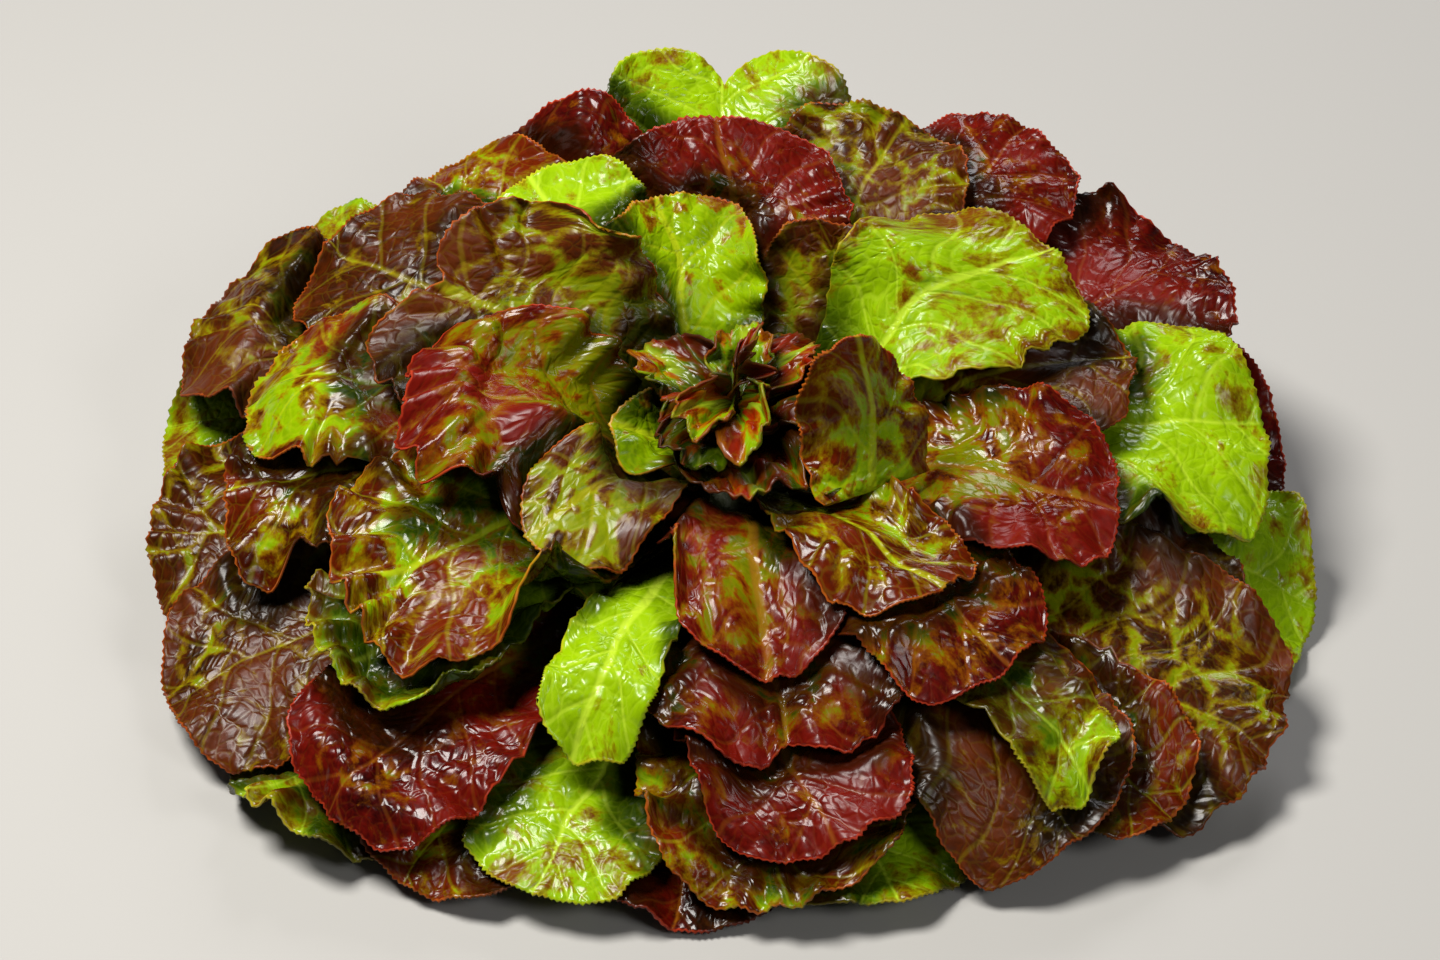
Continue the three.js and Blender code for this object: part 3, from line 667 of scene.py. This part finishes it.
class Paint:
    """A material and its nodes."""

    def __init__(self, name):
        self.material = bpy.data.materials.new(name)
        self.material.use_nodes = True
        self.tree = self.material.node_tree
        self.tree.nodes.clear()

    def node(self, kind, settings, sockets):
        made = self.tree.nodes.new(kind)
        for key, value in settings.items():
            setattr(made, key, value)
        for key, value in sockets.items():
            if isinstance(value, Value):
                self.tree.links.new(value.socket, made.inputs[key])
            else:
                made.inputs[key].default_value = value
        return made

    def out(self, made, key=0):
        return Value(self, made.outputs[key])

    def maths(self, operation, *values):
        settings = {"operation": operation}
        return self.out(self.node("ShaderNodeMath", settings, dict(enumerate(values))))

    def attribute(self, name):
        """The three numbers of one of the piece's attributes."""
        source = self.node("ShaderNodeAttribute", {"attribute_name": name}, {})
        parts = self.node("ShaderNodeSeparateXYZ", {}, {0: self.out(source, "Vector")})
        return [self.out(parts, k) for k in range(3)]

    def step(self, value, low, high):
        """Goes smoothly from 0 at low to 1 at high."""
        settings = {"interpolation_type": "SMOOTHSTEP"}
        return self.out(self.node("ShaderNodeMapRange", settings, {0: value, 1: low, 2: high}))

    def vector(self, x, y, z):
        return self.out(self.node("ShaderNodeCombineXYZ", {}, {0: x, 1: y, 2: z}))

    def noise(self, place, size, detail=2.0, rough=0.5):
        sockets = {"Vector": place, "Scale": 1 / size, "Detail": detail, "Roughness": rough}
        return self.out(self.node("ShaderNodeTexNoise", {}, sockets))

    def cells(self, place, size):
        """Distance from the nearest edge of irregular cells, in cell sizes."""
        settings = {"feature": "DISTANCE_TO_EDGE", "voronoi_dimensions": "2D"}
        sockets = {"Vector": place, "Scale": 1 / size}
        return self.out(self.node("ShaderNodeTexVoronoi", settings, sockets))

    def blend(self, share, a, b):
        """Colour a turning into colour b."""
        made = self.node("ShaderNodeMix", {"data_type": "RGBA"}, {0: share, 6: a, 7: b})
        return self.out(made, 2)

    def finish(self, sockets):
        shader = self.node("ShaderNodeBsdfPrincipled", {}, sockets)
        self.node("ShaderNodeOutputMaterial", {}, {0: self.out(shader)})
        return self.material


def colour(code):
    """A linear colour from a code such as 7fae1c."""
    parts = [int(code[k : k + 2], 16) / 255 for k in (0, 2, 4)]
    line = [p / 12.92 if p <= 0.04045 else ((p + 0.055) / 1.055) ** 2.4 for p in parts]
    return (*line, 1)


def leaf_paint(name, fresh, deep, between, flush, dark, vein, rim_colour, islands, sheen=0.17):
    """Leaf skin: fresh to deep green under a blotched flush, with pale veins, a thin bright rim and painted
    shade where another leaf lies close over it.
    """
    paint = Paint(name)
    x, y, rim = paint.attribute("blade")
    red, unshaded, seed = paint.attribute("tone")
    off_rib = abs(x)
    place = paint.vector(x, y, seed * 31)
    flank = y - VEIN_SLOPE * off_rib + VEIN_BOW * off_rib * off_rib
    flank = flank + VEIN_STAGGER * paint.maths("LESS_THAN", x, 0)
    beside = paint.maths("FLOORED_MODULO", flank + VEIN_SPACING / 2, VEIN_SPACING)
    from_vein = abs(beside - VEIN_SPACING / 2) * ACROSS_VEINS
    side_vein = 1 - paint.step(from_vein, 0.1, 0.55)
    midrib = 1 - paint.step(off_rib + y * 0.014, 1.3, 2.3)
    wander = paint.noise(place, 6, 2.0)
    net = paint.vector(x + wander * 4, y + wander * 5 + seed * 31, 0)
    cell = paint.cells(net, 9)
    small_cell = paint.cells(net, 3.2)
    net_vein = 1 - paint.step(cell, 0.01, 0.05)
    fine_vein = 1 - paint.step(small_cell, 0.02, 0.1)
    veins = paint.maths("MAXIMUM", paint.maths("MAXIMUM", side_vein, midrib), net_vein * 0.6)

    clouds = paint.noise(place, 24, 2.0)
    blotches = paint.noise(place, 7.5, 6.0, 0.68)
    specks = paint.noise(place, 1.5, 3.0, 0.6)
    outer = paint.step(y, 25, 100) - 0.6
    near_edge = 1 - paint.step(rim, 0, 10)
    flushed = red + (clouds - 0.5) * 1.4 + (blotches - 0.5) * 2.4 + outer * 0.6 + near_edge * 0.15
    flushed = flushed + (specks - 0.5) * 0.5 + (paint.step(cell, 0.0, 0.3) - 0.6) * islands
    flushed = flushed - side_vein * 0.06 - midrib * 0.3
    turning = paint.step(flushed, 0.22, 0.52)
    turned = paint.step(flushed, 0.4, 0.8)

    # Painted light and shade along with real blotches: the green is fresher where the skin is open above
    # and deeper where it is covered
    ground = paint.blend(paint.step(blotches + unshaded * 0.35, 0.35, 0.95), colour(deep), colour(fresh))
    ground = paint.blend(veins * 0.22 + fine_vein * 0.06, ground, colour(vein))
    blush = paint.blend(paint.step(specks * 0.5 + clouds, 0.45, 1.0), colour(dark), colour(flush))
    skin = paint.blend(turning * 0.85, ground, colour(between))
    skin = paint.blend(turned, skin, blush)
    skin = paint.blend(side_vein * 0.16 + midrib * 0.45 + fine_vein * 0.05, skin, colour(vein))
    edge_line = (1 - paint.step(rim + (specks - 0.5) * 0.5, 0.1, 0.5)) * paint.step(blotches, 0.3, 0.6)
    skin = paint.blend(edge_line * 0.6, skin, colour(rim_colour))
    # Painted shade: the skin darkens to brown black where the next leaf lies close over it and towards the
    # root
    skin = paint.blend((1 - paint.step(unshaded, 0, 0.95)) * 0.8, skin, colour(PAINTED_SHADE))

    swell = paint.step(cell, 0.0, 0.3) * 0.55 + paint.step(small_cell, 0.0, 0.3) * 0.24
    height = swell + paint.step(from_vein, 0, 1.2) * 0.4 + specks * 0.05 + blotches * 0.15
    bump = paint.node("ShaderNodeBump", {}, {"Strength": 0.5, "Distance": MM, "Height": height})
    return paint.finish(
        {
            "Base Color": skin,
            "Roughness": sheen + paint.step(clouds, 0.45, 0.7) * 0.14 + specks * 0.1 + edge_line * 0.15,
            "Specular IOR Level": 0.2,
            "Normal": paint.out(bump),
        }
    )


PAINTS = {
    "green": leaf_paint(
        "leaf_green",
        fresh="88ac04",
        deep="3a5a00",
        between="7c7000",
        flush="6a3800",
        dark="421c00",
        vein="b8d038",
        rim_colour="c0b020",
        islands=0.1,
    ),
    "mixed": leaf_paint(
        "leaf_mixed",
        fresh="80a000",
        deep="2a4600",
        between="7e4c00",
        flush="661c00",
        dark="260800",
        vein="a8b018",
        rim_colour="c8641c",
        islands=0.3,
    ),
    "bronze": leaf_paint(
        "leaf_bronze",
        fresh="788400",
        deep="323a00",
        between="6c4800",
        flush="542000",
        dark="1e0a00",
        vein="989010",
        rim_colour="b85014",
        islands=0.5,
        sheen=0.25,
    ),
    "red": leaf_paint(
        "leaf_red",
        fresh="6e7200",
        deep="2c3400",
        between="763000",
        flush="680e04",
        dark="1e0202",
        vein="8c5014",
        rim_colour="c84020",
        islands=0.3,
    ),
    "heart": leaf_paint(
        "leaf_heart",
        fresh="769600",
        deep="2c4400",
        between="944400",
        flush="8c1c00",
        dark="3c0800",
        vein="8c9a20",
        rim_colour="6c3c14",
        islands=0.4,
    ),
}
RED_SHARE = {"green": 0.06, "mixed": 0.5, "bronze": 0.7, "red": 0.8}


def leaf_look(leaf, index):
    """The leaf with the sizes of its finish, unless its row has its own."""
    draws = stream(104729 * (index + 3))
    own = {
        "red": RED_SHARE[leaf["tint"]] + (next(draws) - 0.5) * 0.16,
        "ruffle": leaf["wave"] * mix(0.42, 0.6, next(draws)),
        "frill": min(1, max(0, (leaf["wave"] - 5) / 2)),
        "pitch": mix(8, 12, next(draws)),
        "blister": mix(0.2, 0.35, next(draws)) + 0.04 * leaf["wave"],
        "lobes": mix(0.6, 1.1, next(draws)),
        "roll": min(1.4, 0.2 * leaf["wave"]),
        "cup": mix(1, 5, next(draws)),
        "dome": mix(0, 6, next(draws)),
        "open": 0.85,
        "waist": 0.14,
        "slim": 1,
        "stretch": 0,
        "crumple": 0,
    }
    own.update(leaf)
    return own


# ---- The pieces


def leaf_blades():
    blades = []
    for index, row in enumerate(LEAVES):
        leaf = leaf_look(prepared(row, index, len(LEAVES)), index)
        narrow = leaf["width"] < NARROW_WIDTH
        grid = (BLADE_ROWS, NARROW_COLUMNS if narrow else BLADE_COLUMNS)
        blade = Blade(leaf, grid, NARROW_FINE_GRID if narrow else FINE_GRID)
        blade.rest_on_frame(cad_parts[f"leaf_{index + 1:02d}"])
        blades.append(blade)
    return blades


def heart_blades():
    """The heart's crumpled leaves, which turn aside and redden unevenly."""
    blades = []
    for ring in HEART_RINGS:
        for n in range(ring["leaves"]):
            row = {
                "at": ring["first"] + 360 * n / ring["leaves"],
                "reach": 1,
                "rise": 0,
                "wave": 3,
                "tint": "mixed",
                "arch": 2,
                "root_distance": HEART_ROOT_DISTANCE,
                "crumple": 3.4,
                **{key: ring[key] for key in ("root_angle", "tip_angle", "tip_distance", "width")},
            }
            index = len(LEAVES) + len(blades)
            leaf = leaf_look(prepared(row, index, len(LEAVES)), index)
            leaf.update(blister=0.9, ruffle=4.2, pitch=5.5, slim=1.18, waist=-0.1, lobes=3.2)
            blade = Blade(leaf, (HEART_ROWS, HEART_COLUMNS), HEART_FINE_GRID)
            blade.rest_on_frame(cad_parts["heart"])
            draws = stream(6007 * (index + 1))
            leaf.update(lean=mix(-HEART_TURN, HEART_TURN, next(draws)), red=mix(0.6, 0.95, next(draws)))
            blades.append(blade)
    return blades


def shape_all(blades):
    """Finds the room over each blade, from the innermost, and then shapes them from the outermost."""
    above = Heap(90, np.minimum)
    for blade in reversed(blades):
        blade.look_up(above)
        lay_sheet(above, blade.distance, blade.azimuth, blade.lying(blade.smooth_angle, 90.0))
    below = Heap(-90, np.maximum)
    for blade in blades:
        blade.shape()
        blade.settle(below)


def leaf_pieces(blades):
    for index, blade in enumerate(blades):
        node, tint = f"leaf_{index + 1:02d}", blade.leaf["tint"]
        name = node + "_blade"
        thicken(piece(name, blade.mesh(name), PAINTS[tint], node, "leaf_" + tint), BLADE_THICKNESS)


def heart_piece(blades):
    bm = bmesh.new()
    for blade in blades:
        mesh = blade.mesh("heart_leaf")
        bm.from_mesh(mesh)
        bpy.data.meshes.remove(mesh)
    mesh = bpy.data.meshes.new("heart_leaves")
    bm.to_mesh(mesh)
    bm.free()
    thicken(piece("heart_leaves", mesh, PAINTS["heart"], "heart", "leaf_mixed"), BLADE_THICKNESS)


def stem_paint():
    """Pale stem: greenish white and faintly ribbed, browned where it was cut."""
    paint = Paint("stem")
    source = paint.node("ShaderNodeTexCoord", {}, {})
    place = paint.out(source, "Object")
    parts = paint.node("ShaderNodeSeparateXYZ", {}, {0: place})
    height = paint.out(parts, 2)
    patches = paint.noise(place, 0.006, 3.0)
    grain = paint.noise(place, 0.0012, 3.0)
    skin = paint.blend(paint.step(patches, 0.3, 0.7), colour("d9dfae"), colour("b9c77c"))
    skin = paint.blend(paint.step(height, 0.026, 0.036), skin, colour("2c3404"))
    cut = 1 - paint.step(height + (grain - 0.5) * 0.002, 0.0002, 0.0022)
    skin = paint.blend(cut * 0.7, skin, colour("a8743a"))
    bump = paint.node("ShaderNodeBump", {}, {"Strength": 0.5, "Distance": MM, "Height": grain})
    return paint.finish({"Base Color": skin, "Roughness": 0.45 + grain * 0.2, "Normal": paint.out(bump)})


def stem_mesh():
    """The stub and crown as one turned shape."""
    profile = [(0, 0), (STEM_RADIUS - 1.2, 0), (STEM_RADIUS - 0.3, 0.35), (STEM_RADIUS, 1.2)]
    profile += [(STEM_RADIUS, 4), (STEM_RADIUS + 0.1, 8)]
    lowest = -math.degrees(math.acos(STEM_RADIUS / CROWN_RADIUS))
    for step in range(13):
        angle = math.radians(mix(lowest + 3, 90, step / 12))
        profile.append((CROWN_RADIUS * math.cos(angle), CROWN_HEIGHT + CROWN_RADIUS * math.sin(angle)))
    bm = bmesh.new()
    line = [bm.verts.new((r * MM, 0, z * MM)) for r, z in profile]
    edges = [bm.edges.new(pair) for pair in zip(line, line[1:])]
    bmesh.ops.spin(
        bm,
        geom=line + edges,
        axis=(0, 0, 1),
        cent=(0, 0, 0),
        dvec=(0, 0, 0),
        angle=2 * math.pi,
        steps=48,
        use_merge=True,
        use_duplicate=False,
    )
    bmesh.ops.remove_doubles(bm, verts=bm.verts, dist=0.01 * MM)
    bmesh.ops.recalc_face_normals(bm, faces=bm.faces)
    mesh = bpy.data.meshes.new("stem_turned")
    bm.to_mesh(mesh)
    bm.free()
    mesh.polygons.foreach_set("use_smooth", np.ones(len(mesh.polygons), bool))
    return mesh


leaves, heart = leaf_blades(), heart_blades()
shape_all(leaves + heart)
leaf_pieces(leaves)
heart_piece(heart)
piece("stem_turned", stem_mesh(), stem_paint(), "stem", "stem")

# ---- The stage: floor, lights and camera


def floor():
    bm = bmesh.new()
    bmesh.ops.create_grid(bm, x_segments=1, y_segments=1, size=3)
    mesh = bpy.data.meshes.new("floor")
    bm.to_mesh(mesh)
    bm.free()
    made = bpy.data.objects.new("floor", mesh)
    made.location.z = -0.2 * MM
    bpy.context.scene.collection.objects.link(made)
    paint = Paint("floor")
    mesh.materials.append(paint.finish({"Base Color": colour("a8a6a2"), "Roughness": 0.7}))


def area_light(name, place, size, power, tone):
    data = bpy.data.lights.new(name, "AREA")
    data.shape = "DISK"
    data.size = size
    data.energy = power
    data.color = tone
    made = bpy.data.objects.new(name, data)
    made.location = place
    made.rotation_euler = (Vector((0, 0, 0.04)) - Vector(place)).to_track_quat("-Z", "Y").to_euler()
    bpy.context.scene.collection.objects.link(made)


floor()
area_light("key_light", (-0.45, 0.0, 1.12), 0.42, 23, (1, 0.98, 0.94))
area_light("back_light", (0.35, 1.1, 0.9), 0.5, 6, (0.98, 0.97, 1))
area_light("front_light", (0.6, -0.75, 0.85), 0.36, 3.4, (1, 1, 1))

world = bpy.data.worlds.new("studio")
world.use_nodes = True
world.node_tree.nodes["Background"].inputs["Color"].default_value = (0.9, 0.93, 1, 1)
world.node_tree.nodes["Background"].inputs["Strength"].default_value = 0.035
bpy.context.scene.world = world

CAMERA_ELEVATION = math.radians(40)
CAMERA_DISTANCE = 1.15
camera = bpy.data.objects.new("camera", bpy.data.cameras.new("camera"))
bpy.context.scene.collection.objects.link(camera)
back = Vector((0, -math.cos(CAMERA_ELEVATION), math.sin(CAMERA_ELEVATION)))
camera.location = Vector((-0.0038, 0, 0.0401)) + back * CAMERA_DISTANCE
camera.rotation_euler = back.to_track_quat("Z", "Y").to_euler()
camera.data.sensor_width = 36
camera.data.lens = 36 * CAMERA_DISTANCE / (1440 * 0.254 * MM)
camera.data.clip_start = 0.05
bpy.context.scene.camera = camera
bpy.context.scene.view_settings.view_transform = "Standard"
